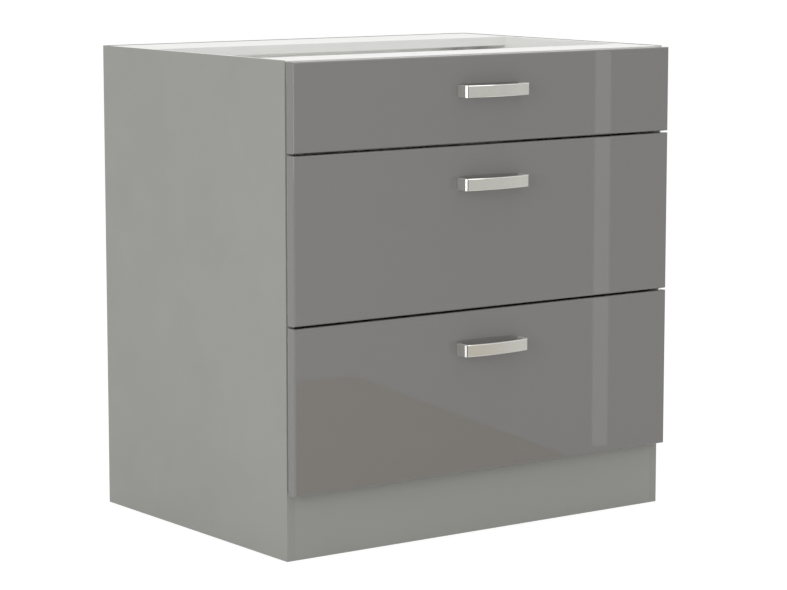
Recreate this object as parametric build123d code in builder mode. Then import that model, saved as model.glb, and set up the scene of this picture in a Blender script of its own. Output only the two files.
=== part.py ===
from build123d import *
import os
from math import cos, pi, sqrt

os.makedirs("parts", exist_ok=True)

# Base cabinet with three drawers. Millimetres, +X to the right, +Y to the back, +Z up.
# The origin is the middle of the footprint, handles included, on the floor.
# Only the left half of what comes in pairs is drawn: the right half is its mirror image.

# ---------------------------------------------------------------- carcass
WIDTH = 800.0
HEIGHT = 820.0
PANEL_DEPTH = 575.0
BOARD = 16.0
BACK_THICKNESS = 3.0
BACK_INSET = 2.0
PLINTH_HEIGHT = 106.0
FRONT_RAIL_DEPTH = 100.0
REAR_RAIL_DEPTH = 150.0

# ---------------------------------------------------------------- drawer fronts and handles
FRONT_THICKNESS = 19.0
FRONT_STANDOFF = 3.0
FRONT_SIDE_MARGIN = 1.5
FRONT_TOP_MARGIN = 1.0
FRONT_LIFT = 5.0
FRONT_GAP = 3.5
SHALLOW_FRONT_HEIGHT = 147.0
FRONT_EDGE_RADIUS = 3.0

HANDLE_LENGTH = 136.0
HANDLE_HEIGHT = 20.0
HANDLE_REACH = 31.0
HANDLE_BOW = 7.5
HANDLE_THICKNESS = 5.0
HANDLE_LEG = 8.0
SHALLOW_HANDLE_DROP = 59.0
DEEP_HANDLE_DROP = 64.0
HANDLE_END_CHAMFER = 2.8
HANDLE_FACE_BEVEL = 0.8
HANDLE_INNER_RADIUS = 4.0

# ---------------------------------------------------------------- roller runners
STEEL = 1.2
RUNNER_LENGTH = 500.0
RUNNER_SETBACK = 2.0
RUNNER_RISE = 10.0
ROLLER_DIAMETER = 17.0
ROLLER_WIDTH = 6.0
ROLLING_CLEARANCE = 0.3
ROLLER_SIDE_CLEARANCE = 0.2
AXLE_RADIUS = 2.5
AXLE_SIDES = 12
AXLE_CLEARANCE = 0.08
AXLE_HEAD_RADIUS = 4.0
AXLE_HEAD_THICKNESS = 0.8
AXLE_HEAD_CLEARANCE = 0.6
FRONT_ROLLER_INSET = 10.0
REAR_ROLLER_INSET = 14.0
CHANNEL_OVERLAP = 1.4
WALL_CLEARANCE = 2.3
TRAVEL = 380.0
STOP_HEIGHT = 4.0
STOP_CLEARANCE = 0.5

# ---------------------------------------------------------------- steel drawer sides
DRAWER_BOARD = 16.0
UNDER_CLEARANCE = 15.0
SHALLOW_SIDE_HEIGHT = 86.0
DEEP_SIDE_HEIGHT = 150.0
LEDGE_WIDTH = 16.0
CAP_WIDTH = 11.0
LIP_HEIGHT = 10.0
REAR_BOARD_DROP = 1.0
FLANGE_START = 1.0
BRACKET_LENGTH = 45.0
BRACKET_MARGIN = 3.0
BRACKET_SIDE_GAP = 0.5

# ---------------------------------------------------------------- fasteners
# Shanks, heads and holes are drawn with flats, as the roller axles are; radii reach to the corners.
FASTENER_SIDES = 6
HOLE_CLEARANCE = 0.05
SCREW_RADIUS = 2.0
SCREW_HEAD_RADIUS = 3.0
SCREW_HEAD_HEIGHT = 1.8
SCREW_BITE = 11.0
REAR_SCREW_BITE = 20.0
REAR_SCREW_MARGIN = 12.0
HANDLE_SCREW_BITE = 8.0
HANDLE_SCREW_HEAD_RADIUS = 4.0
HANDLE_SCREW_HEAD_HEIGHT = 2.4
CAM_RADIUS = 7.5
CAM_DEPTH = 12.5
CAM_SETBACK = 34.0
CAM_BOLT_RADIUS = 2.5
CAM_BOLT_HEAD_RADIUS = 3.5
CAM_BOLT_HEAD_LENGTH = 5.0
CAM_BOLT_BORE_RADIUS = 4.0
CAM_BOLT_BITE = 11.0
CAM_CLEARANCE = 0.1
DOWEL_RADIUS = 4.0
DOWEL_LENGTH = 30.0
DOWEL_BITE = 10.0
BUMPER_RADIUS = 4.0
BUMPER_CLEARANCE = 0.2
BUMPER_MARGIN = 20.0

# ---------------------------------------------------------------- fastener places, from the nearest edge
CAM_EDGE = 35.0
DOWEL_EDGE = 75.0
RUNNER_SCREW_EDGE = 37.0
BRACKET_SCREW_EDGE = 12.0

# ---------------------------------------------------------------- heights worked out from the above
inner_width = WIDTH - 2 * BOARD
floor_panel_top = PLINTH_HEIGHT + BOARD
fronts_low = PLINTH_HEIGHT + FRONT_LIFT
fronts_high = HEIGHT - FRONT_TOP_MARGIN
deep_front_height = (fronts_high - fronts_low - SHALLOW_FRONT_HEIGHT - 2 * FRONT_GAP) / 2
base_rise = floor_panel_top + UNDER_CLEARANCE - fronts_low
screw_hole = SCREW_RADIUS + HOLE_CLEARANCE

# ---------------------------------------------------------------- depths, front to back
overall_depth = HANDLE_REACH + FRONT_THICKNESS + FRONT_STANDOFF + PANEL_DEPTH + BACK_THICKNESS
face_y = -overall_depth / 2 + HANDLE_REACH
front_back_y = face_y + FRONT_THICKNESS
carcass_y = front_back_y + FRONT_STANDOFF
rear_y = carcass_y + PANEL_DEPTH
runner_y = carcass_y + RUNNER_SETBACK
drawer_end_y = front_back_y + RUNNER_LENGTH
front_roller_y = runner_y + FRONT_ROLLER_INSET
rear_roller_y = drawer_end_y - REAR_ROLLER_INSET

# ---------------------------------------------------------------- runner section, side panel inwards
# Across: screw heads, axle head, roller, edge of the channel, drawer wall.
axle_head_near = STEEL + SCREW_HEAD_HEIGHT + AXLE_HEAD_CLEARANCE
roller_near = axle_head_near + AXLE_HEAD_THICKNESS + ROLLER_SIDE_CLEARANCE
roller_far = roller_near + ROLLER_WIDTH
channel_width = roller_far + CHANNEL_OVERLAP
wall_outer = channel_width + WALL_CLEARANCE
wall_inner = wall_outer + STEEL
# Up: the rear roller fills the channel; the front roller leaves room for the running flange above it.
channel_inside = ROLLER_DIAMETER + 2 * ROLLING_CLEARANCE
channel_height = channel_inside + 2 * STEEL
flange_low = channel_height - STEEL - ROLLING_CLEARANCE - STEEL
front_roller_diameter = flange_low - STEEL - 2 * ROLLING_CLEARANCE
front_roller_rise = STEEL + ROLLING_CLEARANCE + front_roller_diameter / 2
rear_roller_rise = STEEL + ROLLING_CLEARANCE + ROLLER_DIAMETER / 2

# Each drawer from the bottom up: name, lowest edge of its front, front height, steel side height.
middle_low = fronts_low + deep_front_height + FRONT_GAP
top_low = middle_low + deep_front_height + FRONT_GAP
DRAWERS = [
    ("bottom", fronts_low, deep_front_height, DEEP_SIDE_HEIGHT),
    ("middle", middle_low, deep_front_height, DEEP_SIDE_HEIGHT),
    ("top", top_low, SHALLOW_FRONT_HEIGHT, SHALLOW_SIDE_HEIGHT),
]


# ---------------------------------------------------------------- helpers used inside the part blocks
def slab(x0, x1, y0, y1, z0, z1):
    """A board between the given faces."""
    with BuildSketch(Plane.XY.offset(z0)) as outline:
        with Locations(((x0 + x1) / 2, (y0 + y1) / 2)):
            Rectangle(x1 - x0, y1 - y0)
    extrude(outline.sketch, amount=z1 - z0)


def rod(point, direction, radius, length):
    """A round bar from a point along a direction."""
    with BuildSketch(Plane(origin=point, z_dir=direction)) as disc:
        Circle(radius)
    extrude(disc.sketch, amount=length)


def flat_rod(point, direction, radius, length, mode=Mode.ADD, sides=FASTENER_SIDES, turned=0):
    """A bar with flats, or its hole with Mode.SUBTRACT, from a point along a direction."""
    with BuildSketch(Plane(origin=point, z_dir=direction)) as outline:
        RegularPolygon(radius, sides, rotation=turned)
    extrude(outline.sketch, amount=length, mode=mode)


def inward(distance):
    """X of a point that lies this far inwards from the left side panel's inner face."""
    return -inner_width / 2 + distance


def section_plane(y, z):
    """Cross-section plane of the left runner: its x runs inwards from the side panel, its y up."""
    return Plane(origin=(inward(0), y, z), x_dir=(1, 0, 0), z_dir=(0, -1, 0))


def save(builder, name):
    """Label a finished piece and write it to its own file."""
    builder.part.label = name
    export_step(builder.part, "parts/" + name + ".step")


def save_pair(builder, name):
    """Write a left piece and its mirror image."""
    save(builder, name + "_left")
    with BuildPart() as right:
        mirror(builder.part, about=Plane.YZ)
    save(right, name + "_right")


# ---------------------------------------------------------------- where the boards are joined
# Each joint of the left side panel: a point on its inner face at mid-board, and the direction of the
# face that the cam sinks into, which is None for a plain dowel.
UP = (0, 0, 1)
DOWN = (0, 0, -1)
BACK = (0, 1, 0)
FORWARD = (0, -1, 0)
INWARDS = (1, 0, 0)
OUTWARDS = (-1, 0, 0)
floor_panel_mid = PLINTH_HEIGHT + BOARD / 2
rail_mid = HEIGHT - BOARD / 2
plinth_mid = carcass_y + BOARD / 2
FLOOR_PANEL_CAMS = [(carcass_y + CAM_EDGE, floor_panel_mid), (rear_y - CAM_EDGE, floor_panel_mid)]
FLOOR_PANEL_DOWELS = [(carcass_y + DOWEL_EDGE, floor_panel_mid), (rear_y - DOWEL_EDGE, floor_panel_mid)]
FRONT_RAIL_CAMS = [(carcass_y + CAM_EDGE, rail_mid)]
FRONT_RAIL_DOWELS = [(carcass_y + DOWEL_EDGE, rail_mid)]
REAR_RAIL_CAMS = [(rear_y - CAM_EDGE, rail_mid)]
REAR_RAIL_DOWELS = [(rear_y - DOWEL_EDGE, rail_mid)]
PLINTH_CAMS = [(plinth_mid, CAM_EDGE)]
PLINTH_DOWELS = [(plinth_mid, DOWEL_EDGE)]
FLAT_CAMS = FLOOR_PANEL_CAMS + FRONT_RAIL_CAMS + REAR_RAIL_CAMS
DOWELS = FLOOR_PANEL_DOWELS + FRONT_RAIL_DOWELS + REAR_RAIL_DOWELS + PLINTH_DOWELS


def cam_pocket_start(y, z, face):
    """Point at the board's face where the cam of a joint goes in, and the way in."""
    if face is DOWN:
        return (inward(CAM_SETBACK), y, z - BOARD / 2), UP
    return (inward(CAM_SETBACK), y + BOARD / 2, z), FORWARD


def joint_bores(cams, dowels, face):
    """Cut a board's left end for its cams, cam bolts and dowels."""
    for y, z in cams:
        start, way_in = cam_pocket_start(y, z, face)
        flat_rod(start, way_in, CAM_RADIUS + CAM_CLEARANCE, CAM_DEPTH, Mode.SUBTRACT)
        flat_rod((inward(0), y, z), INWARDS, CAM_BOLT_BORE_RADIUS, CAM_SETBACK, Mode.SUBTRACT)
    for y, z in dowels:
        dowel_bore = DOWEL_RADIUS + HOLE_CLEARANCE
        flat_rod((inward(0), y, z), INWARDS, dowel_bore, DOWEL_LENGTH - DOWEL_BITE, Mode.SUBTRACT)


def half_board(y0, y1, z0, z1, cams, dowels, face):
    """The left half of a board between the sides, cut for its joints, and its mirror image."""
    slab(inward(0), 0, y0, y1, z0, z1)
    joint_bores(cams, dowels, face)
    mirror(about=Plane.YZ)


# ---------------------------------------------------------------- screw places
RUNNER_SCREWS = [runner_y + RUNNER_SCREW_EDGE, runner_y + RUNNER_LENGTH - RUNNER_SCREW_EDGE]
base_screw_x = inward(wall_inner + LEDGE_WIDTH / 2)
base_screw_y = front_back_y + RUNNER_LENGTH / 2

# ---------------------------------------------------------------- side panels
with BuildPart() as side_panel:
    slab(-WIDTH / 2, inward(0), carcass_y, rear_y, 0, HEIGHT)
    for y, z in FLAT_CAMS + PLINTH_CAMS:
        bolt_bore = CAM_BOLT_RADIUS + HOLE_CLEARANCE
        flat_rod((inward(0), y, z), OUTWARDS, bolt_bore, CAM_BOLT_BITE, Mode.SUBTRACT)
    for y, z in DOWELS:
        flat_rod((inward(0), y, z), OUTWARDS, DOWEL_RADIUS + HOLE_CLEARANCE, DOWEL_BITE, Mode.SUBTRACT)
    for name, low, front_height, side_height in DRAWERS:
        for y in RUNNER_SCREWS:
            z = low + base_rise + RUNNER_RISE + channel_height / 2
            flat_rod((inward(0), y, z), OUTWARDS, screw_hole, SCREW_BITE, Mode.SUBTRACT)
save_pair(side_panel, "side_panel")

# ---------------------------------------------------------------- boards between the sides
with BuildPart() as bottom_panel:
    half_board(carcass_y, rear_y, PLINTH_HEIGHT, floor_panel_top, FLOOR_PANEL_CAMS, FLOOR_PANEL_DOWELS, DOWN)
save(bottom_panel, "bottom_panel")

with BuildPart() as front_rail:
    rail_end = carcass_y + FRONT_RAIL_DEPTH
    half_board(carcass_y, rail_end, HEIGHT - BOARD, HEIGHT, FRONT_RAIL_CAMS, FRONT_RAIL_DOWELS, DOWN)
save(front_rail, "front_rail")

with BuildPart() as rear_rail:
    rail_start = rear_y - REAR_RAIL_DEPTH
    half_board(rail_start, rear_y, HEIGHT - BOARD, HEIGHT, REAR_RAIL_CAMS, REAR_RAIL_DOWELS, DOWN)
save(rear_rail, "rear_rail")

with BuildPart() as plinth_board:
    half_board(carcass_y, carcass_y + BOARD, 0, PLINTH_HEIGHT, PLINTH_CAMS, PLINTH_DOWELS, BACK)
save(plinth_board, "plinth_board")

# ---------------------------------------------------------------- hardboard back
with BuildPart() as back_panel:
    half_back = WIDTH / 2 - BACK_INSET
    back_low = PLINTH_HEIGHT + BACK_INSET
    slab(-half_back, half_back, rear_y, rear_y + BACK_THICKNESS, back_low, HEIGHT - BACK_INSET)
save(back_panel, "back_panel")

# ---------------------------------------------------------------- cams, cam bolts and dowels
with BuildPart() as cam_locks:
    for y, z in FLAT_CAMS + PLINTH_CAMS:
        start, way_in = cam_pocket_start(y, z, BACK if (y, z) in PLINTH_CAMS else DOWN)
        flat_rod(start, way_in, CAM_RADIUS, CAM_DEPTH - CAM_CLEARANCE)
        mouth_radius = CAM_BOLT_HEAD_RADIUS + CAM_CLEARANCE
        mouth_end = CAM_SETBACK + CAM_BOLT_HEAD_LENGTH / 2 + CAM_CLEARANCE
        flat_rod((inward(0), y, z), INWARDS, mouth_radius, mouth_end, Mode.SUBTRACT)
    mirror(about=Plane.YZ)
save(cam_locks, "cam_locks")

with BuildPart() as cam_bolts:
    for y, z in FLAT_CAMS + PLINTH_CAMS:
        shank = CAM_BOLT_BITE + CAM_SETBACK - CAM_BOLT_HEAD_LENGTH / 2
        flat_rod((inward(-CAM_BOLT_BITE), y, z), INWARDS, CAM_BOLT_RADIUS, shank)
        head_start = inward(CAM_SETBACK - CAM_BOLT_HEAD_LENGTH / 2)
        flat_rod((head_start, y, z), INWARDS, CAM_BOLT_HEAD_RADIUS, CAM_BOLT_HEAD_LENGTH)
    mirror(about=Plane.YZ)
save(cam_bolts, "cam_bolts")

with BuildPart() as dowels:
    for y, z in DOWELS:
        flat_rod((inward(-DOWEL_BITE), y, z), INWARDS, DOWEL_RADIUS, DOWEL_LENGTH)
    mirror(about=Plane.YZ)
save(dowels, "dowels")

# ---------------------------------------------------------------- soft dots that the closed fronts rest on
with BuildPart() as front_bumpers:
    bumper_x = inward(-BOARD / 2)
    for name, low, front_height, side_height in DRAWERS:
        for z in (low + BUMPER_MARGIN, low + front_height - BUMPER_MARGIN):
            flat_rod((bumper_x, carcass_y, z), FORWARD, BUMPER_RADIUS, FRONT_STANDOFF - BUMPER_CLEARANCE)
    mirror(about=Plane.YZ)
save(front_bumpers, "front_bumpers")


# ---------------------------------------------------------------- runners on the side panels
def stop_distance():
    """How far ahead of its centre the rear roller meets the stop lug."""
    radius = ROLLER_DIAMETER / 2
    return sqrt(radius**2 - (radius + ROLLING_CLEARANCE - STOP_HEIGHT) ** 2)


def cabinet_runner(runner_z):
    """Left C channel with its screw holes, riveted roller axle and pressed-up stop lug."""
    with BuildSketch(section_plane(runner_y, runner_z)) as section:
        with BuildLine():
            inner_top = channel_height - STEEL
            Polyline((channel_width, STEEL), (STEEL, STEEL), (STEEL, inner_top), (channel_width, inner_top))
            offset(amount=STEEL, side=Side.LEFT)
        make_face()
    extrude(section.sketch, amount=-RUNNER_LENGTH)
    for y in RUNNER_SCREWS:
        hole_start = (inward(0), y, runner_z + channel_height / 2)
        flat_rod(hole_start, INWARDS, screw_hole, STEEL, Mode.SUBTRACT)
    axle_z = runner_z + front_roller_rise
    axle_end = roller_far + ROLLER_SIDE_CLEARANCE
    axle = (inward(STEEL), front_roller_y, axle_z)
    flat_rod(axle, INWARDS, AXLE_HEAD_RADIUS, roller_near - ROLLER_SIDE_CLEARANCE - STEEL)
    flat_rod(axle, INWARDS, AXLE_RADIUS, axle_end - STEEL, sides=AXLE_SIDES)
    flat_rod((inward(axle_end), front_roller_y, axle_z), INWARDS, AXLE_HEAD_RADIUS, AXLE_HEAD_THICKNESS)
    lug_y = rear_roller_y - TRAVEL - stop_distance() - STOP_CLEARANCE
    lug_z = runner_z + STEEL
    slab(inward(roller_near), inward(roller_far), lug_y - STEEL, lug_y, lug_z, lug_z + STOP_HEIGHT)


def roller_pair(y, z, diameter):
    """Left and right nylon rollers that share one axis. The bore's flats clear the axle's corners."""
    near_side = (inward(roller_near), y, z)
    rod(near_side, INWARDS, diameter / 2, ROLLER_WIDTH)
    bore = (AXLE_RADIUS + AXLE_CLEARANCE) / cos(pi / AXLE_SIDES)
    half_flat = 180 / AXLE_SIDES
    flat_rod(near_side, INWARDS, bore, ROLLER_WIDTH, Mode.SUBTRACT, AXLE_SIDES, half_flat)
    mirror(about=Plane.YZ)


for name, low, front_height, side_height in DRAWERS:
    runner_z = low + base_rise + RUNNER_RISE
    with BuildPart() as runner:
        cabinet_runner(runner_z)
    save_pair(runner, "runner_" + name)
    with BuildPart() as cabinet_rollers:
        roller_pair(front_roller_y, runner_z + front_roller_rise, front_roller_diameter)
    save(cabinet_rollers, "cabinet_rollers_" + name)

with BuildPart() as runner_screws:
    for name, low, front_height, side_height in DRAWERS:
        for y in RUNNER_SCREWS:
            z = low + base_rise + RUNNER_RISE + channel_height / 2
            flat_rod((inward(STEEL), y, z), OUTWARDS, SCREW_RADIUS, STEEL + SCREW_BITE)
            flat_rod((inward(STEEL), y, z), INWARDS, SCREW_HEAD_RADIUS, SCREW_HEAD_HEIGHT)
    mirror(about=Plane.YZ)
save(runner_screws, "runner_screws")


# ---------------------------------------------------------------- drawer fronts and handles
bracket_near = wall_outer - CAP_WIDTH + 2 * STEEL + BRACKET_SIDE_GAP
bracket_screw = (bracket_near + wall_outer - STEEL) / 2


def bracket_span(base_z, side_height):
    """Lowest and highest point of a front bracket, between the runner and the cap."""
    low_z = base_z + RUNNER_RISE + channel_height + BRACKET_MARGIN
    return low_z, base_z + side_height - 2 * STEEL - BRACKET_MARGIN


def bracket_screw_heights(base_z, side_height):
    """Heights of the two screws of a front bracket."""
    low_z, high_z = bracket_span(base_z, side_height)
    return [low_z + BRACKET_SCREW_EDGE, high_z - BRACKET_SCREW_EDGE]


def handle_screw_places(handle_z):
    """Axes of the two handle screws, at the middles of the handle's legs."""
    reach = (HANDLE_LENGTH - HANDLE_LEG) / 2
    return [(-reach, handle_z), (reach, handle_z)]


def bow_handle(handle_z):
    """Bowed bar on two legs, drawn in plan: the grip's inner arc runs parallel to its outer face."""
    half = HANDLE_LENGTH / 2
    leg_inner = half - HANDLE_LEG
    end_y = face_y - HANDLE_REACH + HANDLE_BOW
    outer_radius = (half**2 + HANDLE_BOW**2) / (2 * HANDLE_BOW)
    inner_radius = outer_radius - HANDLE_THICKNESS
    bow_centre = face_y - HANDLE_REACH + outer_radius
    inner_y = bow_centre - sqrt(inner_radius**2 - leg_inner**2)
    with BuildSketch(Plane.XY.offset(handle_z - HANDLE_HEIGHT / 2)) as plan:
        with BuildLine():
            ThreePointArc((-half, end_y), (0, face_y - HANDLE_REACH), (half, end_y))
            Polyline((half, end_y), (half, face_y), (leg_inner, face_y), (leg_inner, inner_y))
            grip = (0, bow_centre - inner_radius)
            ThreePointArc((leg_inner, inner_y), grip, (-leg_inner, inner_y))
            Polyline((-leg_inner, inner_y), (-leg_inner, face_y), (-half, face_y), (-half, end_y))
        make_face()
    extrude(plan.sketch, amount=HANDLE_HEIGHT)


for name, low, front_height, side_height in DRAWERS:
    base_z = low + base_rise
    high = low + front_height
    handle_drop = SHALLOW_HANDLE_DROP if front_height == SHALLOW_FRONT_HEIGHT else DEEP_HANDLE_DROP
    handle_z = high - handle_drop
    half_front = WIDTH / 2 - FRONT_SIDE_MARGIN

    with BuildPart() as front:
        slab(-half_front, half_front, face_y, front_back_y, low, high)
        fillet(front.faces().sort_by(Axis.Y)[0].edges(), FRONT_EDGE_RADIUS)
        for x, z in handle_screw_places(handle_z):
            flat_rod((x, front_back_y, z), FORWARD, screw_hole, FRONT_THICKNESS, Mode.SUBTRACT)
        for z in bracket_screw_heights(base_z, side_height):
            for x in (inward(bracket_screw), -inward(bracket_screw)):
                flat_rod((x, front_back_y, z), FORWARD, screw_hole, SCREW_BITE, Mode.SUBTRACT)
    save(front, "front_" + name)

    with BuildPart() as handle:
        bow_handle(handle_z)
        upright = handle.edges().filter_by(Axis.Z).group_by(Axis.Y)
        chamfer(upright[0], HANDLE_END_CHAMFER)
        fillet(upright[1], HANDLE_INNER_RADIUS)
        grip_face = handle.faces().filter_by(GeomType.CYLINDER).sort_by(Axis.Y)[0]
        chamfer(grip_face.edges().filter_by(GeomType.CIRCLE), HANDLE_FACE_BEVEL)
        for x, z in handle_screw_places(handle_z):
            flat_rod((x, face_y, z), FORWARD, screw_hole, HANDLE_SCREW_BITE + HOLE_CLEARANCE, Mode.SUBTRACT)
    save(handle, "handle_" + name)

    with BuildPart() as handle_screws:
        for x, z in handle_screw_places(handle_z):
            flat_rod((x, front_back_y, z), FORWARD, SCREW_RADIUS, FRONT_THICKNESS + HANDLE_SCREW_BITE)
            flat_rod((x, front_back_y, z), BACK, HANDLE_SCREW_HEAD_RADIUS, HANDLE_SCREW_HEAD_HEIGHT)
    save(handle_screws, "handle_screws_" + name)


# ---------------------------------------------------------------- drawer boxes
def drawer_side(base_z, side_height):
    """Left folded steel side: ledge, wall, cap and lip, with the running flange and the roller axle."""
    lip_inner = wall_inner - CAP_WIDTH + STEEL
    cap_under = side_height - 2 * STEEL
    with BuildSketch(section_plane(front_back_y, base_z)) as section:
        with BuildLine():
            Polyline(
                (wall_inner + LEDGE_WIDTH, -STEEL),
                (wall_outer, -STEEL),
                (wall_outer, cap_under),
                (lip_inner, cap_under),
                (lip_inner, cap_under + STEEL - LIP_HEIGHT),
            )
            offset(amount=STEEL, side=Side.RIGHT)
        make_face()
    extrude(section.sketch, amount=-RUNNER_LENGTH)
    runner_z = base_z + RUNNER_RISE
    flange_start = front_back_y + FLANGE_START
    flange_end = rear_roller_y - ROLLER_DIAMETER / 2 - STEEL
    flange_z = runner_z + flange_low
    flange_edge = inward(roller_near - ROLLER_SIDE_CLEARANCE)
    slab(flange_edge, inward(wall_outer), flange_start, flange_end, flange_z, flange_z + STEEL)
    axle = (inward(wall_outer), rear_roller_y, runner_z + rear_roller_rise)
    axle_length = wall_outer - roller_near + ROLLER_SIDE_CLEARANCE
    flat_rod(axle, OUTWARDS, AXLE_HEAD_RADIUS, wall_outer - roller_far - ROLLER_SIDE_CLEARANCE)
    flat_rod(axle, OUTWARDS, AXLE_RADIUS, axle_length, sides=AXLE_SIDES)
    head = (inward(wall_outer - axle_length), rear_roller_y, runner_z + rear_roller_rise)
    flat_rod(head, OUTWARDS, AXLE_HEAD_RADIUS, AXLE_HEAD_THICKNESS)


def rear_screw_places(base_z, side_height):
    """Axes of the left screws through the steel side into the end of the rear board."""
    y = drawer_end_y - DRAWER_BOARD / 2
    low_z = base_z + RUNNER_RISE + channel_height + REAR_SCREW_MARGIN
    high_z = base_z + side_height - STEEL - REAR_BOARD_DROP - REAR_SCREW_MARGIN
    return [(y, low_z), (y, high_z)]


for name, low, front_height, side_height in DRAWERS:
    base_z = low + base_rise
    runner_z = base_z + RUNNER_RISE
    base_top = base_z + DRAWER_BOARD

    with BuildPart() as side:
        drawer_side(base_z, side_height)
        flat_rod((base_screw_x, base_screw_y, base_z - STEEL), UP, screw_hole, STEEL, Mode.SUBTRACT)
        for y, z in rear_screw_places(base_z, side_height):
            flat_rod((inward(wall_outer), y, z), INWARDS, screw_hole, STEEL, Mode.SUBTRACT)
    save_pair(side, "drawer_side_" + name)

    with BuildPart() as drawer_rollers:
        roller_pair(rear_roller_y, runner_z + rear_roller_rise, ROLLER_DIAMETER)
    save(drawer_rollers, "drawer_rollers_" + name)

    with BuildPart() as base:
        slab(inward(wall_inner), -inward(wall_inner), front_back_y, drawer_end_y, base_z, base_top)
        for x in (base_screw_x, -base_screw_x):
            flat_rod((x, base_screw_y, base_z), UP, screw_hole, SCREW_BITE, Mode.SUBTRACT)
    save(base, "drawer_base_" + name)

    with BuildPart() as rear:
        rear_top = base_z + side_height - STEEL - REAR_BOARD_DROP
        rear_start = drawer_end_y - DRAWER_BOARD
        slab(inward(wall_inner), -inward(wall_inner), rear_start, drawer_end_y, base_top, rear_top)
        for y, z in rear_screw_places(base_z, side_height):
            flat_rod((inward(wall_inner), y, z), INWARDS, screw_hole, REAR_SCREW_BITE, Mode.SUBTRACT)
            flat_rod((-inward(wall_inner), y, z), OUTWARDS, screw_hole, REAR_SCREW_BITE, Mode.SUBTRACT)
    save(rear, "drawer_rear_" + name)

    with BuildPart() as brackets:
        low_z, high_z = bracket_span(base_z, side_height)
        with BuildSketch(Plane.XY.offset(low_z)):
            with BuildLine():
                outer_end = (inward(bracket_near), front_back_y + STEEL)
                bend = (inward(wall_outer - STEEL), front_back_y + STEEL)
                tongue_end = (inward(wall_outer - STEEL), front_back_y + BRACKET_LENGTH)
                Polyline(outer_end, bend, tongue_end)
                offset(amount=STEEL, side=Side.RIGHT)
            make_face()
        extrude(amount=high_z - low_z)
        for z in bracket_screw_heights(base_z, side_height):
            flat_rod((inward(bracket_screw), front_back_y, z), BACK, screw_hole, STEEL, Mode.SUBTRACT)
        mirror(about=Plane.YZ)
    save(brackets, "front_brackets_" + name)

    with BuildPart() as screws:
        for z in bracket_screw_heights(base_z, side_height):
            start = (inward(bracket_screw), front_back_y + STEEL, z)
            flat_rod(start, FORWARD, SCREW_RADIUS, STEEL + SCREW_BITE)
            flat_rod(start, BACK, SCREW_HEAD_RADIUS, SCREW_HEAD_HEIGHT)
        base_screw = (base_screw_x, base_screw_y, base_z - STEEL)
        flat_rod(base_screw, UP, SCREW_RADIUS, STEEL + SCREW_BITE)
        flat_rod(base_screw, DOWN, SCREW_HEAD_RADIUS, SCREW_HEAD_HEIGHT)
        for y, z in rear_screw_places(base_z, side_height):
            flat_rod((inward(wall_outer), y, z), INWARDS, SCREW_RADIUS, STEEL + REAR_SCREW_BITE)
            flat_rod((inward(wall_outer), y, z), OUTWARDS, SCREW_HEAD_RADIUS, SCREW_HEAD_HEIGHT)
        mirror(about=Plane.YZ)
    save(screws, "drawer_screws_" + name)
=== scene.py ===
import math
from collections import namedtuple

import bmesh
import bpy
from mathutils import Matrix, Vector

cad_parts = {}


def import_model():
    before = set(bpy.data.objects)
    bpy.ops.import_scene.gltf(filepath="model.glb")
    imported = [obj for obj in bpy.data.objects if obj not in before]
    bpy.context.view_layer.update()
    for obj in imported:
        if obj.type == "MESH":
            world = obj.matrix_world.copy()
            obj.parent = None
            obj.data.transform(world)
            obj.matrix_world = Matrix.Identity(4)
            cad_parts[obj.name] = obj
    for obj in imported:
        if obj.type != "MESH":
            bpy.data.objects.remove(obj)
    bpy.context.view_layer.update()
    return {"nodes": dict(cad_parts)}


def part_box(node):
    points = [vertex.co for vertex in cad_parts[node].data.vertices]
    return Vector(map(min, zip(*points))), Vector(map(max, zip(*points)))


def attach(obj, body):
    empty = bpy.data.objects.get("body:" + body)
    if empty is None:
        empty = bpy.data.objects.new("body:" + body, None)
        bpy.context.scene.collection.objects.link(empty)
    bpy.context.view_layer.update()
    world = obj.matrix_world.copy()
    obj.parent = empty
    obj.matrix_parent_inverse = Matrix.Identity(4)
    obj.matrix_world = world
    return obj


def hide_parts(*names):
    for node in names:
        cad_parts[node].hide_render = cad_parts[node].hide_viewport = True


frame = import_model()

MM = 0.001
DRAWERS = ("bottom", "middle", "top")
SIDES = ("left", "right")

# ---------------------------------------------------------------- places read from the frame
side_low, side_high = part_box("side_panel_left")
half_width = -side_low.x
carcass_front = side_low.y
carcass_rear = side_high.y
cabinet_height = side_high.z
front_low, front_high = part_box("front_top")
front_face = front_low.y
front_back = front_high.y
back_low, back_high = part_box("back_panel")
base_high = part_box("drawer_base_top")[1]
handle_low, handle_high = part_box("handle_top")


# ---------------------------------------------------------------- material helpers
def linear(hex_colour):
    """Linear RGBA of an sRGB hex colour."""
    parts = [int(hex_colour[i : i + 2], 16) / 255 for i in (1, 3, 5)]
    return [p / 12.92 if p <= 0.04045 else ((p + 0.055) / 1.055) ** 2.4 for p in parts] + [1.0]


def fill(tree, made, inputs):
    """Set or link inputs of a node, which go by name or number.

    A node that is given as a value stands for the first of its outputs that is in use.
    """
    for name, value in inputs.items():
        named = [socket for socket in made.inputs if socket.enabled and socket.name == name]
        target = named[0] if named else made.inputs[name]
        if isinstance(value, bpy.types.Node):
            value = next(socket for socket in value.outputs if socket.enabled)
        if isinstance(value, bpy.types.NodeSocket):
            tree.links.new(value, target)
        else:
            target.default_value = value


def node(tree, kind, inputs=None, **settings):
    """Add a shader node with its settings and its inputs."""
    made = tree.nodes.new(kind)
    for name, value in settings.items():
        setattr(made, name, value)
    fill(tree, made, inputs or {})
    return made


def emptied(holder):
    """The node tree of a new material or world, without its default nodes."""
    holder.use_nodes = True
    holder.node_tree.nodes.clear()
    return holder.node_tree


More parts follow.
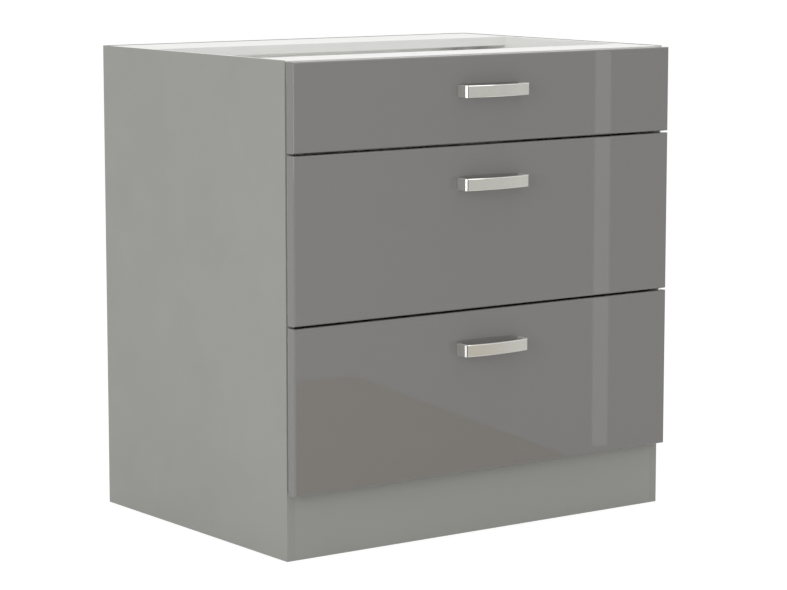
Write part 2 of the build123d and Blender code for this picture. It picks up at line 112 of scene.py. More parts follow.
def new_material(name):
    """A material, its node tree, its Principled shader and the object coordinates."""
    material = bpy.data.materials.new(name)
    tree = emptied(material)
    shader = node(tree, "ShaderNodeBsdfPrincipled")
    node(tree, "ShaderNodeOutputMaterial", {"Surface": shader})
    place = node(tree, "ShaderNodeTexCoord").outputs["Object"]
    return material, tree, shader, place


# Noise seldom leaves this middle part of its range from 0 to 1
NOISE_SPAN = {"From Min": 0.3, "From Max": 0.7}


def grain(tree, place, size, detail=3.0, stretch=(1, 1, 1)):
    """Noise whose blobs are about size metres across, drawn out along an axis by a stretch over 1."""
    scale = [1 / (size * s) for s in stretch]
    at = node(tree, "ShaderNodeMapping", {"Vector": place, "Scale": scale})
    return node(tree, "ShaderNodeTexNoise", {"Vector": at, "Scale": 1.0, "Detail": detail})


def two_tone(tree, pattern, first, second):
    """A colour that wanders from one hex colour to another with a pattern."""
    share = node(tree, "ShaderNodeMapRange", {"Value": pattern, **NOISE_SPAN})
    tones = {"Factor": share, "A": linear(first), "B": linear(second)}
    return node(tree, "ShaderNodeMix", tones, data_type="RGBA")


def texture(tree, shader, pattern, smooth, rough, relief=0.0):
    """Let a pattern vary a shader's roughness, and lift its surface by a relief in metres."""
    gloss = {"Value": pattern, **NOISE_SPAN, "To Min": smooth, "To Max": rough}
    fill(tree, shader, {"Roughness": node(tree, "ShaderNodeMapRange", gloss)})
    if relief:
        lifted = node(tree, "ShaderNodeBump", {"Height": pattern, "Strength": 1.0, "Distance": relief})
        fill(tree, shader, {"Normal": lifted})


# ---------------------------------------------------------------- melamine-faced chipboard
# Paper in melamine resin pressed on chipboard: satin, with a fine pearl texture. Grey outside and on the
# front edges, white inside and on the other edges.
WHITE = "#ECECEA"
GREY = "#92938D"
GREY_CLOUD = "#8F908A"
# Painted light: the plinth is the sides' grey melamine painted a little lighter, for light that the lamps
# don't give its front.
PLINTH_GREY_PAINTED_LIGHTER = "#94958F"
# How deep the grey facing reaches in from the outer faces and front edges
LAMINATE_LINE = 0.9 * MM
# Height of the white line in which the front edges end at the top
TOP_BAND = 1.1 * MM
# The real pearl is finer; this is the finest that shows in the picture
MELAMINE_PEARL = 1.6 * MM
MELAMINE_CLOUD = 90 * MM
MELAMINE_RELIEF = 0.03 * MM


def pearl_finish(tree, shader, place):
    """The satin of pressed melamine."""
    pearl = grain(tree, place, MELAMINE_PEARL, detail=2.0)
    texture(tree, shader, pearl, smooth=0.42, rough=0.56, relief=MELAMINE_RELIEF)


def melamine_board():
    """The facing of the sides and the bottom panel, grey or white by place."""
    material, tree, shader, place = new_material("melamine_grey_and_white")
    axes = node(tree, "ShaderNodeSeparateXYZ", {0: place})
    across = node(tree, "ShaderNodeMath", {0: axes.outputs["X"]}, operation="ABSOLUTE")
    outer = {0: across, 1: half_width - LAMINATE_LINE}
    front = {0: axes.outputs["Y"], 1: carcass_front + LAMINATE_LINE}
    below = {0: axes.outputs["Z"], 1: cabinet_height - TOP_BAND}
    outside = node(tree, "ShaderNodeMath", outer, operation="GREATER_THAN")
    in_front = node(tree, "ShaderNodeMath", front, operation="LESS_THAN")
    below_band = node(tree, "ShaderNodeMath", below, operation="LESS_THAN")
    front_edge = node(tree, "ShaderNodeMath", {0: in_front, 1: below_band}, operation="MULTIPLY")
    grey = node(tree, "ShaderNodeMath", {0: outside, 1: front_edge}, operation="MAXIMUM")
    cloud = grain(tree, place, MELAMINE_CLOUD, detail=4.0)
    facing = {"Factor": grey, "A": linear(WHITE), "B": two_tone(tree, cloud, GREY_CLOUD, GREY)}
    fill(tree, shader, {"Base Color": node(tree, "ShaderNodeMix", facing, data_type="RGBA")})
    pearl_finish(tree, shader, place)
    return material


# Raw chipboard at the rear and side edges of the drawer bases, to this depth
RAW_EDGE = 0.2 * MM
CHIP = 2.5 * MM


def chipboard_white():
    """White board with raw chipboard on the edges that nothing covers."""
    material, tree, shader, place = new_material("melamine_white_raw_edges")
    axes = node(tree, "ShaderNodeSeparateXYZ", {0: place})
    across = node(tree, "ShaderNodeMath", {0: axes.outputs["X"]}, operation="ABSOLUTE")
    side = {0: across, 1: base_high.x - RAW_EDGE}
    rear = {0: axes.outputs["Y"], 1: base_high.y - RAW_EDGE}
    side_edge = node(tree, "ShaderNodeMath", side, operation="GREATER_THAN")
    rear_edge = node(tree, "ShaderNodeMath", rear, operation="GREATER_THAN")
    raw = node(tree, "ShaderNodeMath", {0: side_edge, 1: rear_edge}, operation="MAXIMUM")
    chips = node(tree, "ShaderNodeTexVoronoi", {"Vector": place, "Scale": 1 / CHIP})
    wood = {"Factor": chips, "A": linear("#C6A478"), "B": linear("#8A6A45")}
    board = {"Factor": raw, "A": linear(WHITE), "B": node(tree, "ShaderNodeMix", wood, data_type="RGBA")}
    fill(tree, shader, {"Base Color": node(tree, "ShaderNodeMix", board, data_type="RGBA")})
    pearl_finish(tree, shader, place)
    return material


def plain_melamine(name, colour):
    """One colour of the same facing, for boards and edges that have no second colour."""
    material, tree, shader, place = new_material(name)
    fill(tree, shader, {"Base Color": linear(colour)})
    pearl_finish(tree, shader, place)
    return material


# ---------------------------------------------------------------- hardboard back
# Wet-felted fibre sheet: lacquered white on the inner face, bare brown fibre behind.
LACQUER_DEPTH = 0.2 * MM
FIBRE = 3 * MM


def hardboard():
    """The back panel, white inside and brown outside."""
    material, tree, shader, place = new_material("hardboard")
    axes = node(tree, "ShaderNodeSeparateXYZ", {0: place})
    lacquer = {0: axes.outputs["Y"], 1: back_low.y + LACQUER_DEPTH}
    inner = node(tree, "ShaderNodeMath", lacquer, operation="LESS_THAN")
    fibre = grain(tree, place, FIBRE, detail=6.0)
    sheet = {"Factor": inner, "A": two_tone(tree, fibre, "#7C5B3C", "#A07B55"), "B": linear("#E6E6E3")}
    fill(tree, shader, {"Base Color": node(tree, "ShaderNodeMix", sheet, data_type="RGBA")})
    texture(tree, shader, fibre, smooth=0.55, rough=0.75, relief=0.08 * MM)
    return material


# ---------------------------------------------------------------- gloss fronts
# High-gloss foil wrapped round fibreboard: mirror-like lacquer with the faint waviness of the board under
# it; the back has a plain white backing foil.
FRONT_GREY = "#797876"
BACKING_DEPTH = 0.2 * MM
FOIL_WAVE = 14 * MM
FOIL_RELIEF = 0.004 * MM


def gloss_foil():
    """Grey gloss on the face and round the edges, satin white behind."""
    material, tree, shader, place = new_material("gloss_foil")
    axes = node(tree, "ShaderNodeSeparateXYZ", {0: place})
    backing = {0: axes.outputs["Y"], 1: front_back - BACKING_DEPTH}
    behind = node(tree, "ShaderNodeMath", backing, operation="GREATER_THAN")
    colours = {"Factor": behind, "A": linear(FRONT_GREY), "B": linear("#DEDEDC")}
    wave = grain(tree, place, FOIL_WAVE, detail=1.0)
    foil = {
        "Base Color": node(tree, "ShaderNodeMix", colours, data_type="RGBA"),
        "Roughness": node(tree, "ShaderNodeMapRange", {"Value": behind, "To Min": 0.03, "To Max": 0.5}),
        "Normal": node(tree, "ShaderNodeBump", {"Height": wave, "Strength": 1.0, "Distance": FOIL_RELIEF}),
    }
    fill(tree, shader, foil)
    return material


# ---------------------------------------------------------------- metals
def brushed_nickel():
    """Satin plate drawn along the grip, with fine scratches that follow it."""
    material, tree, shader, place = new_material("brushed_nickel")
    scratch = grain(tree, place, size=0.35 * MM, detail=4.0, stretch=(60, 1, 1))
    fill(tree, shader, {"Base Color": two_tone(tree, scratch, "#B1B0AA", "#BEBDB7"), "Metallic": 1.0})
    texture(tree, shader, scratch, smooth=0.26, rough=0.4, relief=0.01 * MM)
    return material


def satin_nickel():
    """The same plate, blasted matt on the legs, so that it scatters what it mirrors."""
    material, tree, shader, place = new_material("satin_nickel")
    blast = grain(tree, place, size=0.5 * MM)
    fill(tree, shader, {"Base Color": linear("#CDCBC7"), "Metallic": 1.0})
    texture(tree, shader, blast, smooth=0.55, rough=0.68, relief=0.02 * MM)
    return material


# Painted shade: this nickel is coloured dark so that the grooves show as dark lines beside the bright end
# chamfers.
def groove_nickel_painted_shade():
    """The plate in the fine grooves, its colour darkened as painted shade so that each groove shows as a dark
    line.
    """
    material, tree, shader, place = new_material("nickel_painted_dark_groove")
    mottle = grain(tree, place, size=0.4 * MM)
    fill(tree, shader, {"Base Color": two_tone(tree, mottle, "#6E6C68", "#85837F"), "Metallic": 1.0})
    texture(tree, shader, mottle, smooth=0.5, rough=0.65)
    return material


def polished_nickel():
    """The same plate, buffed bright on the bevels."""
    material, tree, shader, place = new_material("polished_nickel")
    haze = grain(tree, place, size=5 * MM)
    fill(tree, shader, {"Base Color": linear("#E9E8E4"), "Metallic": 1.0})
    texture(tree, shader, haze, smooth=0.07, rough=0.14)
    return material


def coated_steel():
    """Epoxy powder baked on sheet steel: pale grey, satin, with a fine orange peel."""
    material, tree, shader, place = new_material("epoxy_coated_steel")
    peel = grain(tree, place, size=1.2 * MM, detail=2.0)
    fill(tree, shader, {"Base Color": linear("#D5D6D4")})
    texture(tree, shader, peel, smooth=0.36, rough=0.48, relief=0.03 * MM)
    return material


def zinc_plated_steel():
    """Bright zinc on pressed steel: bluish, slightly cloudy."""
    material, tree, shader, place = new_material("zinc_plated_steel")
    cloud = grain(tree, place, size=6 * MM, detail=2.0)
    fill(tree, shader, {"Base Color": two_tone(tree, cloud, "#B6B9BC", "#C9CBCD"), "Metallic": 1.0})
    texture(tree, shader, cloud, smooth=0.25, rough=0.42)
    return material


# ---------------------------------------------------------------- plastics and wood
def nylon():
    """Moulded white nylon: slightly waxy."""
    material, tree, shader, place = new_material("moulded_nylon")
    wax = grain(tree, place, size=0.8 * MM)
    fill(tree, shader, {"Base Color": linear("#EAE8E0")})
    texture(tree, shader, wax, smooth=0.34, rough=0.46, relief=0.015 * MM)
    return material


def soft_pvc():
    """Clear soft plastic dots, which look milky on a board."""
    material, tree, shader, place = new_material("soft_clear_pvc")
    haze = grain(tree, place, size=1.0 * MM, detail=2.0)
    fill(tree, shader, {"Base Color": linear("#D6D8D4")})
    texture(tree, shader, haze, smooth=0.2, rough=0.32)
    return material


def beech():
    """Turned beech dowels: pale, with short darker flecks along the grain."""
    material, tree, shader, place = new_material("beech")
    fleck = grain(tree, place, size=0.4 * MM, detail=4.0, stretch=(8, 1, 1))
    fill(tree, shader, {"Base Color": two_tone(tree, fleck, "#C99D6D", "#E0BE93")})
    texture(tree, shader, fleck, smooth=0.5, rough=0.65)
    return material


FINISHES = {
    "melamine": melamine_board(),
    "white": plain_melamine("melamine_white", WHITE),
    "skin": plain_melamine("melamine_grey_edge", GREY),
    "plinth": plain_melamine("melamine_grey_plinth_painted_lighter", PLINTH_GREY_PAINTED_LIGHTER),
    "raw_edged": chipboard_white(),
    "hardboard": hardboard(),
    "foil": gloss_foil(),
    "brushed": brushed_nickel(),
    "polished": polished_nickel(),
    "satin": satin_nickel(),
    "groove": groove_nickel_painted_shade(),
    "coated": coated_steel(),
    "zinc": zinc_plated_steel(),
    "nylon": nylon(),
    "pvc": soft_pvc(),
    "beech": beech(),
}


# ---------------------------------------------------------------- finishes of the CAD nodes
def dress(finish, *names):
    """Give CAD nodes their finish. Those that a piece below replaces don't need one."""
    for name in names:
        data = frame["nodes"][name].data
        data.materials.clear()
        data.materials.append(FINISHES[finish])


dress("melamine", "side_panel_left", "side_panel_right", "bottom_panel")
# The plinth's grey is the sides' grey painted lighter, as painted light.
dress("plinth", "plinth_board")
dress("white", "front_rail", "rear_rail")
dress("hardboard", "back_panel")
dress("beech", "dowels")
dress("zinc", "cam_bolts")
for drawer in DRAWERS:
    dress("foil", "front_" + drawer)
    dress("raw_edged", "drawer_base_" + drawer)
    dress("white", "drawer_rear_" + drawer)
    dress("zinc", "front_brackets_" + drawer)
    dress("nylon", "cabinet_rollers_" + drawer, "drawer_rollers_" + drawer)
    for side in SIDES:
        dress("coated", f"runner_{drawer}_{side}", f"drawer_side_{drawer}_{side}")


# ---------------------------------------------------------------- mesh helpers
# Points closer than this are one point: in what is made here, and in the CAD meshes
SAME_POINT = 0.001 * MM
SAME_CAD_POINT = 0.01 * MM


def add_object(name, data):
    """Put a mesh, a lamp or the camera into the scene."""
    made = bpy.data.objects.new(name, data)
    bpy.context.scene.collection.objects.link(made)
    return made


def finish_piece(mesh, name, body, finishes, nodes=(), sharp=40):
    """Turn a bmesh into a piece that rides on a body and stands for the named nodes.

    Edges that turn by more than sharp degrees stay crisp.
    """
    bmesh.ops.remove_doubles(mesh, verts=mesh.verts, dist=SAME_POINT)
    bmesh.ops.recalc_face_normals(mesh, faces=mesh.faces)
    data = bpy.data.meshes.new(name)
    mesh.to_mesh(data)
    mesh.free()
    data.shade_smooth()
    data.set_sharp_from_angle(angle=math.radians(sharp))
    for finish in finishes:
        data.materials.append(FINISHES[finish])
    piece = add_object(name, data)
    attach(piece, body)
    if nodes:
        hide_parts(*nodes)
    return piece


def block(mesh, low, high):
    """Add a box between two corners."""
    size = Vector(high) - Vector(low)
    place = Matrix.Translation((Vector(low) + Vector(high)) / 2) @ Matrix.Diagonal((*size, 1))
    bmesh.ops.create_cube(mesh, size=1, matrix=place)


def lathe(profile, steps=32):
    """A closed turned part about Z from (radius, height) points that start and end on the axis."""
    mesh = bmesh.new()
    points = [mesh.verts.new((radius, 0, height)) for radius, height in profile]
    line = [mesh.edges.new(pair) for pair in zip(points, points[1:])]
    bmesh.ops.spin(
        mesh, geom=points + line, cent=(0, 0, 0), axis=(0, 0, 1), angle=math.tau, steps=steps, use_merge=True
    )
    bmesh.ops.remove_doubles(mesh, verts=mesh.verts, dist=SAME_POINT)
    bmesh.ops.recalc_face_normals(mesh, faces=mesh.faces)
    return mesh


def cut_cross(mesh, top, length, width, depth):
    """Sink a cross recess into the flat top of a turned part."""
    for way in (Vector((1, 0, 0)), Vector((0, 1, 0))):
        for reach in (-length / 2, -width / 2, width / 2, length / 2):
            everything = mesh.verts[:] + mesh.edges[:] + mesh.faces[:]
            bmesh.ops.bisect_plane(mesh, geom=everything, plane_co=reach * way, plane_no=way)

    def in_cross(face):
        middle = face.calc_center_median()
        x, y = abs(middle.x), abs(middle.y)
        on_top = abs(middle.z - top) < SAME_POINT
        return on_top and max(x, y) < length / 2 and min(x, y) < width / 2

    arms = [face for face in mesh.faces if in_cross(face)]
    sunk = bmesh.ops.extrude_face_region(mesh, geom=arms)
    bmesh.ops.delete(mesh, geom=arms, context="FACES_ONLY")
    floor_points = [v for v in sunk["geom"] if isinstance(v, bmesh.types.BMVert)]
    bmesh.ops.translate(mesh, verts=floor_points, vec=(0, 0, -depth))


def solids(name):
    """Lists of the points of each separate solid in a CAD node."""
    mesh = bmesh.new()
    mesh.from_mesh(frame["nodes"][name].data)
    bmesh.ops.remove_doubles(mesh, verts=mesh.verts, dist=SAME_CAD_POINT)
    left = set(mesh.verts)
    found = []
    while left:
        reached = [left.pop()]
        points = []
        while reached:
            vertex = reached.pop()
            points.append(vertex.co.copy())
            near = {edge.other_vert(vertex) for edge in vertex.link_edges} & left
            left -= near
            reached += near
        found.append(points)
    mesh.free()
    return found


def span(points):
    """Lowest and highest corner of a list of points."""
    low = Vector([min(point[i] for point in points) for i in range(3)])
    high = Vector([max(point[i] for point in points) for i in range(3)])
    return low, high


def add_copies(mesh, part, places):
    """Add a copy of a turned part at each (point, direction of its Z axis)."""
    template = bpy.data.meshes.new("template")
    part.to_mesh(template)
    part.free()
    for point, direction in places:
        before = len(mesh.verts)
        mesh.from_mesh(template)
        mesh.verts.ensure_lookup_table()
        turn = Vector(direction).to_track_quat("Z", "Y").to_matrix().to_4x4()
        bmesh.ops.transform(mesh, verts=mesh.verts[before:], matrix=Matrix.Translation(point) @ turn)
    bpy.data.meshes.remove(template)


# ---------------------------------------------------------------- bow handles
# A bowed bar on two legs that stand on the front. The plan is the same for all three handles.
HANDLE_BOW = 7.5 * MM
HANDLE_THICKNESS = 5 * MM
HANDLE_LEG = 8 * MM
HANDLE_END_CHAMFER = 2.3 * MM
HANDLE_FACE_BEVEL = 0.8 * MM
HANDLE_INNER_RADIUS = 4 * MM
HANDLE_EDGE = 0.15 * MM
HANDLE_EDGE_ANGLE = math.radians(30)
HANDLE_GROOVE = 1.9 * MM
HANDLE_GROOVE_DEPTH = 0.5 * HANDLE_GROOVE
HALF_BOW_STEPS = 14
FILLET_STEPS = 6
HANDLE_FINISHES = ("brushed", "polished", "satin", "groove")
BRUSHED, POLISHED, SATIN, GROOVE = range(len(HANDLE_FINISHES))


def on_circle(x, y, radius, turn):
    """The point at a turn from -Y towards +X about a centre."""
    return (x + radius * math.sin(turn), y - radius * math.cos(turn))


def arc(x, y, radius, start, end, steps):
    """Points from start up to, but without, end."""
    return [on_circle(x, y, radius, start + (end - start) * i / steps) for i in range(steps)]


# The brushed face is an arc about (0, bow_centre); the grooves lie where it meets the end chamfers.
# The chords that stand for the arc stay nearer to it than NEAR_BOW.
NEAR_BOW = 0.1 * MM
half_handle = (handle_high.x - handle_low.x) / 2
bow_radius = (half_handle**2 + HANDLE_BOW**2) / (2 * HANDLE_BOW)
bow_centre = handle_low.y + bow_radius
chamfer_y = handle_low.y + HANDLE_BOW + HANDLE_END_CHAMFER
groove_end_turn = math.asin(half_handle / bow_radius) - HANDLE_END_CHAMFER / bow_radius
face_end_turn = groove_end_turn - HANDLE_GROOVE / bow_radius
groove_turn = (groove_end_turn + face_end_turn) / 2
groove_end = on_circle(0, bow_centre, bow_radius, groove_end_turn)
groove_floor = on_circle(0, bow_centre, bow_radius - HANDLE_GROOVE_DEPTH, groove_turn)
face_end = on_circle(0, bow_centre, bow_radius, face_end_turn)


def handle_plan():
    """Outline of a handle: the right half from mid-face round to the inside, then its mirror image."""
    inner_radius = bow_radius - HANDLE_THICKNESS
    leg_inner = half_handle - HANDLE_LEG
    fillet_x = leg_inner - HANDLE_INNER_RADIUS
    fillet_reach = inner_radius - HANDLE_INNER_RADIUS
    fillet_turn = math.asin(fillet_x / fillet_reach)
    fillet_y = bow_centre - math.sqrt(fillet_reach**2 - fillet_x**2)
    right = arc(0, bow_centre, bow_radius, 0, face_end_turn, HALF_BOW_STEPS)
    right += [face_end, groove_floor, groove_end, (half_handle, chamfer_y)]
    right += [(half_handle, front_face), (leg_inner, front_face)]
    right += arc(fillet_x, fillet_y, HANDLE_INNER_RADIUS, math.pi / 2, fillet_turn, FILLET_STEPS)
    right += arc(0, bow_centre, inner_radius, fillet_turn, 0, HALF_BOW_STEPS)
    right.append(on_circle(0, bow_centre, inner_radius, 0))
    return right + [(-x, y) for x, y in reversed(right[1:-1])]


def handle_finish(face):
    """Which of the handle's finishes a face has, told from the way it faces and where it lies."""
    middle = face.calc_center_median()
    level = abs(face.normal.z) > 0.5
    if level:
        return SATIN
    if abs(math.dist(middle.xy, (0, bow_centre)) - bow_radius) < NEAR_BOW:
        return BRUSHED
    if abs(middle.x) > groove_end[0] and middle.y < chamfer_y:
        return POLISHED
    # Groove faces take the nickel that is painted dark as shade.
    if abs(middle.x) > face_end[0] and middle.y < groove_floor[1]:
        return GROOVE
    return SATIN


def on_rim(edge):
    """Whether an edge is the upper or lower border of the brushed face."""
    first, second = edge.verts
    level = abs(first.co.z - second.co.z) < SAME_POINT
    return level and sum(face.material_index == BRUSHED for face in edge.link_faces) == 1


def bow_handle(drawer):
    """Brushed face, polished bevels, matt legs, and a fine groove beside each end chamfer, painted dark as
    shade.
    """
    low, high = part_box("handle_" + drawer)
    mesh = bmesh.new()
    plan = mesh.faces.new([mesh.verts.new((x, y, low.z)) for x, y in handle_plan()])
    raised = bmesh.ops.extrude_face_region(mesh, geom=[plan], use_keep_orig=True)
    top_points = [v for v in raised["geom"] if isinstance(v, bmesh.types.BMVert)]
    bmesh.ops.translate(mesh, verts=top_points, vec=(0, 0, high.z - low.z))
    bmesh.ops.recalc_face_normals(mesh, faces=mesh.faces)
    for face in mesh.faces:
        face.material_index = handle_finish(face)
    rim = [edge for edge in mesh.edges if on_rim(edge)]
    bevelled = bmesh.ops.bevel(
        mesh, geom=rim, offset=HANDLE_FACE_BEVEL, segments=1, profile=0.5, affect="EDGES", material=-1
    )
    for face in bevelled["faces"]:
        face.material_index = POLISHED
    piece = finish_piece(
        mesh,
        "bow_handle_" + drawer,
        "drawer_" + drawer,
        HANDLE_FINISHES,
        ["handle_" + drawer],
        sharp=15,
    )
    edges = piece.modifiers.new("edges", "BEVEL")
    edges.width = HANDLE_EDGE
    edges.segments = 2
    edges.limit_method = "ANGLE"
    edges.angle_limit = HANDLE_EDGE_ANGLE


# ---------------------------------------------------------------- screws
# Sizes of a pan head are shares of its radius and its height
PAN_CURVE = ((1, 0.35), (0.93, 0.7), (0.72, 1))
CROSS_LENGTH = 1
CROSS_WIDTH = 0.25
CROSS_DEPTH = 0.6
SHANK_RADIUS = 1.9 * MM
SHANK_POINT = 2 * SHANK_RADIUS
# What lies this far out, as a share of the head's radius, belongs to the head
HEAD_RIM = 0.9
# Screws are alike when their lengths in metres agree to this many decimals
LENGTH_DECIMALS = 4

Screw = namedtuple("Screw", "under way_out radius height length")


def screws_of(name):
    """The screws of a CAD node: middle of the head's underside, way out, head's radius and height, length."""
    found = []
    for points in solids(name):
        low, high = span(points)
        middle = (low + high) / 2
        size = high - low
        axis = max(range(3), key=lambda i: size[i])

        def off_axis(point):
            return math.hypot(*[point[i] - middle[i] for i in range(3) if i != axis])

        radius = max(off_axis(point) for point in points)
        head = [point[axis] for point in points if off_axis(point) > HEAD_RIM * radius]
        outwards = 1 if sum(head) / len(head) > middle[axis] else -1
        under = middle.copy()
        under[axis] = min(head) if outwards > 0 else max(head)
        way_out = [0, 0, 0]
        way_out[axis] = outwards
        found.append(Screw(under, way_out, radius, max(head) - min(head), size[axis]))
    return found


def pan_head_screws(name, body):
    """Cross-recessed pan heads on plain shanks in place of a node's screws."""
    by_length = {}
    for screw in screws_of(name):
        by_length.setdefault(round(screw.length, LENGTH_DECIMALS), []).append(screw)
    mesh = bmesh.new()
    for length in sorted(by_length):
        alike = by_length[length]
        radius, height = alike[0].radius, alike[0].height
        shank = alike[0].length - height
        profile = [(0, -shank), (SHANK_RADIUS, SHANK_POINT - shank), (SHANK_RADIUS, 0), (radius, 0)]
        profile += [(out * radius, up * height) for out, up in PAN_CURVE] + [(0, height)]
        part = lathe(profile, steps=24)
        cut_cross(part, height, CROSS_LENGTH * radius, CROSS_WIDTH * radius, CROSS_DEPTH * height)
        add_copies(mesh, part, [(screw.under, screw.way_out) for screw in alike])
    finish_piece(mesh, "pan_head_" + name, body, ("zinc",), [name])


# ---------------------------------------------------------------- cams
CAM_RADIUS = 7.5 * MM
CAM_DRUM_RADIUS = 0.95 * CAM_RADIUS
CAM_FACE_RADIUS = 0.93 * CAM_RADIUS
CAM_DEPTH = 12 * MM
CAM_RIM = 0.5 * MM
CAM_PROUD = 0.3 * MM
CAM_CROSS = 1.1 * CAM_RADIUS
CAM_SLOT = 0.2 * CAM_RADIUS
CAM_SLOT_DEPTH = 2 * MM


def cam_fittings():
    """Die-cast cams: their cross-slotted faces show below flat boards and behind upright ones."""
    places = []
    for points in solids("cam_locks"):
        low, high = span(points)
        middle = (low + high) / 2
        if high.z - low.z < high.y - low.y:
            places.append(((middle.x, middle.y, low.z), (0, 0, -1)))
        else:
            places.append(((middle.x, high.y, middle.z), (0, 1, 0)))
    profile = [
        (0, -CAM_DEPTH),
        (CAM_DRUM_RADIUS, -CAM_DEPTH),
        (CAM_DRUM_RADIUS, -CAM_RIM),
        (CAM_RADIUS, -CAM_RIM),
        (CAM_RADIUS, 0),
        (CAM_FACE_RADIUS, CAM_PROUD),
        (0, CAM_PROUD),
    ]
    cam = lathe(profile)
    cut_cross(cam, CAM_PROUD, CAM_CROSS, CAM_SLOT, CAM_SLOT_DEPTH)
    mesh = bmesh.new()
    add_copies(mesh, cam, places)
    finish_piece(mesh, "cam_fittings", "carcass", ("zinc",), ["cam_locks"])


# ---------------------------------------------------------------- soft dots
# Share of a dot's height that is straight, under the dome
DOT_RIM = 0.4
DOME_STEPS = 6


def soft_dots():
    """Domed soft dots that the closed fronts rest on."""
    spans = [span(points) for points in solids("front_bumpers")]
    places = [(((low.x + high.x) / 2, high.y, (low.z + high.z) / 2), (0, -1, 0)) for low, high in spans]
    low, high = spans[0]
    height = high.y - low.y
    radius = (high.z - low.z) / 2
    rim = DOT_RIM * height
    turns = [math.pi / 2 * i / DOME_STEPS for i in range(DOME_STEPS)]
    dome = [(radius * math.cos(turn), rim + (height - rim) * math.sin(turn)) for turn in turns]
    dot = lathe([(0, 0), (radius, 0)] + dome + [(0, height)], steps=24)
    mesh = bmesh.new()
    add_copies(mesh, dot, places)
    finish_piece(mesh, "soft_dots", "carcass", ("pvc",), ["front_bumpers"])


# ---------------------------------------------------------------- nails of the back
NAIL_SPACING = 110 * MM
NAIL_INSET = 7 * MM
NAIL_RADIUS = 0.7 * MM
NAIL_LENGTH = 14 * MM
NAIL_POINT = 2 * MM
NAIL_HEAD = 0.6 * MM
NAIL_HEAD_RADIUS = 1.8 * MM
NAIL_HEAD_RIM = 0.6 * NAIL_HEAD
NAIL_HEAD_FLAT = 0.8 * NAIL_HEAD_RADIUS


def back_nails():
    """Flat-headed nails along the edges of the hardboard back."""
    x_end = back_high.x - NAIL_INSET
    z_low = back_low.z + NAIL_INSET
    z_high = back_high.z - NAIL_INSET
    gaps_across = round(2 * x_end / NAIL_SPACING)
    gaps_up = round((z_high - z_low) / NAIL_SPACING)
    across = [-x_end + 2 * x_end * i / gaps_across for i in range(gaps_across + 1)]
    up = [z_low + (z_high - z_low) * i / gaps_up for i in range(1, gaps_up)]
    spots = [(x, z) for x in across for z in (z_low, z_high)] + [(x, z) for x in (-x_end, x_end) for z in up]
    profile = [
        (0, -NAIL_LENGTH),
        (NAIL_RADIUS, NAIL_POINT - NAIL_LENGTH),
        (NAIL_RADIUS, 0),
        (NAIL_HEAD_RADIUS, 0),
        (NAIL_HEAD_RADIUS, NAIL_HEAD_RIM),
        (NAIL_HEAD_FLAT, NAIL_HEAD),
        (0, NAIL_HEAD),
    ]
    mesh = bmesh.new()
    add_copies(mesh, lathe(profile, steps=16), [((x, back_high.y, z), (0, 1, 0)) for x, z in spots])
    finish_piece(mesh, "back_nails", "carcass", ("zinc",))


# ---------------------------------------------------------------- grey skin on the outer faces
SKIN = 0.8 * MM
SKIN_PROUD = 1.0 * MM


def outer_skin():
    """The grey facing of the sides and back, which stands a little proud of the white top edges."""
    mesh = bmesh.new()
    top = cabinet_height + SKIN_PROUD
    inner = half_width - SKIN
    block(mesh, (-half_width, carcass_front, cabinet_height), (-inner, carcass_rear, top))
    block(mesh, (inner, carcass_front, cabinet_height), (half_width, carcass_rear, top))
    block(mesh, (-inner, carcass_rear - SKIN, cabinet_height), (inner, carcass_rear, top))
    finish_piece(mesh, "outer_skin", "carcass", ("skin",))


for drawer in DRAWERS:
    bow_handle(drawer)
    pan_head_screws("handle_screws_" + drawer, "drawer_" + drawer)
    pan_head_screws("drawer_screws_" + drawer, "drawer_" + drawer)
pan_head_screws("runner_screws", "carcass")
cam_fittings()
soft_dots()
back_nails()
outer_skin()

# ---------------------------------------------------------------- floor, reflection cards and world
FLOOR_SIZE = 120.0
FLOOR_GAP = 0.5 * MM
# How far the floor's own white glow hides its shading from the camera, and how strong the glow is
FLOOR_WHITENING = 0.7
FLOOR_GLOW = 1.2
AMBIENT = 0.67
WHITE_LIGHT = (1, 1, 1, 1)


def seen_rays(tree):
    """1 for the rays that show a surface to the camera, straight or in gloss and glass, and 0 for light."""
    ray = node(tree, "ShaderNodeLightPath").outputs
    indirect = {0: ray["Is Glossy Ray"], 1: ray["Is Transmission Ray"]}
    mirrored = node(tree, "ShaderNodeMath", indirect, operation="MAXIMUM")
    return node(tree, "ShaderNodeMath", {0: ray["Is Camera Ray"], 1: mirrored}, operation="MAXIMUM")


def stage_sheet(name, material, width, height, place):
    """A flat sheet of the studio, level and centred before the matrix place moves it."""
    mesh = bmesh.new()
    bmesh.ops.create_grid(mesh, x_segments=1, y_segments=1, size=0.5)
    mesh.transform(place @ Matrix.Diagonal((width, height, 1, 1)))
    data = bpy.data.meshes.new(name)
    mesh.to_mesh(data)
    mesh.free()
    data.materials.append(material)
    sheet = add_object(name, data)
    return sheet


def floor():
    """Pale floor that keeps the cabinet's shadow and otherwise looks white."""
    material = bpy.data.materials.new("white_paint")
    tree = emptied(material)
    paint = node(tree, "ShaderNodeBsdfDiffuse", {"Color": linear("#F2F2F2")})
    glow = node(tree, "ShaderNodeEmission", {"Color": WHITE_LIGHT, "Strength": FLOOR_GLOW})
    share = node(tree, "ShaderNodeMath", {0: seen_rays(tree), 1: FLOOR_WHITENING}, operation="MULTIPLY")
    blend = node(tree, "ShaderNodeMixShader", {0: share, 1: paint, 2: glow})
    node(tree, "ShaderNodeOutputMaterial", {"Surface": blend})
    stage_sheet("studio_floor", material, FLOOR_SIZE, FLOOR_SIZE, Matrix.Translation((0, 0, -FLOOR_GAP)))


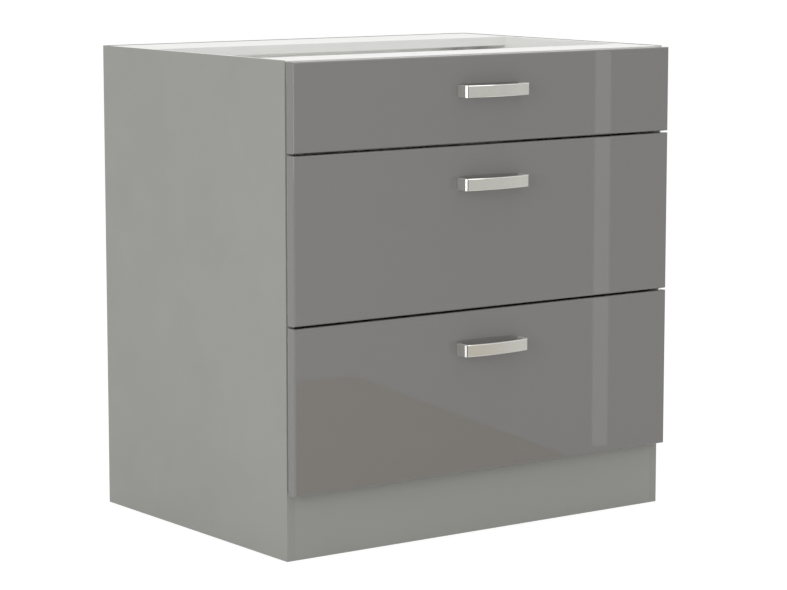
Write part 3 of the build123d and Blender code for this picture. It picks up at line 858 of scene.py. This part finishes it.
def glow_card(name, place, tilt, turn, width, height, level, colour="#FFFFFF"):
    """A glowing card that shows only in reflections. Tilt and turn are its degrees about X and then Z."""
    material = bpy.data.materials.new(name)
    tree = emptied(material)
    glow = node(tree, "ShaderNodeEmission", {"Color": linear(colour), "Strength": level})
    node(tree, "ShaderNodeOutputMaterial", {"Surface": glow})
    facing = Matrix.Rotation(math.radians(turn), 4, "Z") @ Matrix.Rotation(math.radians(tilt), 4, "X")
    card = stage_sheet(name, material, width, height, Matrix.Translation(place) @ facing)
    card.visible_camera = card.visible_diffuse = card.visible_transmission = card.visible_shadow = False


def world():
    """White to the camera and in reflections; a plain ambient level as light."""
    sky = bpy.data.worlds.new("studio")
    bpy.context.scene.world = sky
    tree = emptied(sky)
    level = node(tree, "ShaderNodeMapRange", {"Value": seen_rays(tree), "To Min": AMBIENT, "To Max": 1.0})
    light = node(tree, "ShaderNodeBackground", {"Color": WHITE_LIGHT, "Strength": level})
    node(tree, "ShaderNodeOutputWorld", {"Surface": light})


floor()
world()
# The pale line down the fronts, and the warm shine low in the bottom front
glow_card(
    "bright_strip", place=(0.635, -0.742, 0.48), tilt=90, turn=40.6, width=0.03, height=0.95, level=1.74
)
glow_card(
    "warm_floor_patch",
    place=(0.231, -1.229, 0),
    tilt=0,
    turn=11.25,
    width=0.8,
    height=1.16,
    level=0.95,
    colour="#FFE7CB",
)

# ---------------------------------------------------------------- lamps
CABINET_MIDDLE = (0, 0, cabinet_height / 2)
# The fill lamp lights the strip of the back that shows under the rear rail
FILL_HEIGHT = 0.79
FILL_GAP = 60 * MM


def lamp(name, place, aim, width, height, watts):
    """A soft box that shines from a place towards a point."""
    data = bpy.data.lights.new(name, "AREA")
    data.shape = "RECTANGLE"
    data.size = width
    data.size_y = height
    data.energy = watts
    box = add_object(name, data)
    box.location = place
    box.rotation_euler = (Vector(aim) - Vector(place)).to_track_quat("-Z", "Y").to_euler()
    box.visible_camera = False


lamp("left_soft_box", place=(-3.6, -1.9, 1.4), aim=CABINET_MIDDLE, width=2.4, height=2.4, watts=50)
lamp("top_soft_box", place=(0.5, -0.5, 4.0), aim=CABINET_MIDDLE, width=2.5, height=2.5, watts=39)
lamp(
    "fill_under_rear_rail",
    place=(0, back_low.y - FILL_GAP, FILL_HEIGHT),
    aim=(0, back_low.y, FILL_HEIGHT),
    width=0.72,
    height=0.012,
    watts=0.09,
)

# ---------------------------------------------------------------- camera
# The photo's camera: a long lens, turned to the right and tipped down
FOCAL_PIXELS = 2802.0
PHOTO_WIDTH = 787
SENSOR = 36.0
CAMERA_YAW = math.radians(35.98)
CAMERA_PITCH = math.radians(8.06)
CAMERA_PLACE = (-2.896, -3.997, 1.078)
VIEW_END = 200

camera_data = bpy.data.cameras.new("camera")
camera_data.sensor_width = SENSOR
camera_data.lens = FOCAL_PIXELS / PHOTO_WIDTH * SENSOR
camera_data.clip_end = VIEW_END
camera = add_object("camera", camera_data)
camera.location = CAMERA_PLACE
camera.rotation_euler = (math.pi / 2 - CAMERA_PITCH, 0, -CAMERA_YAW)
bpy.context.scene.camera = camera
bpy.context.scene.view_settings.view_transform = "Standard"
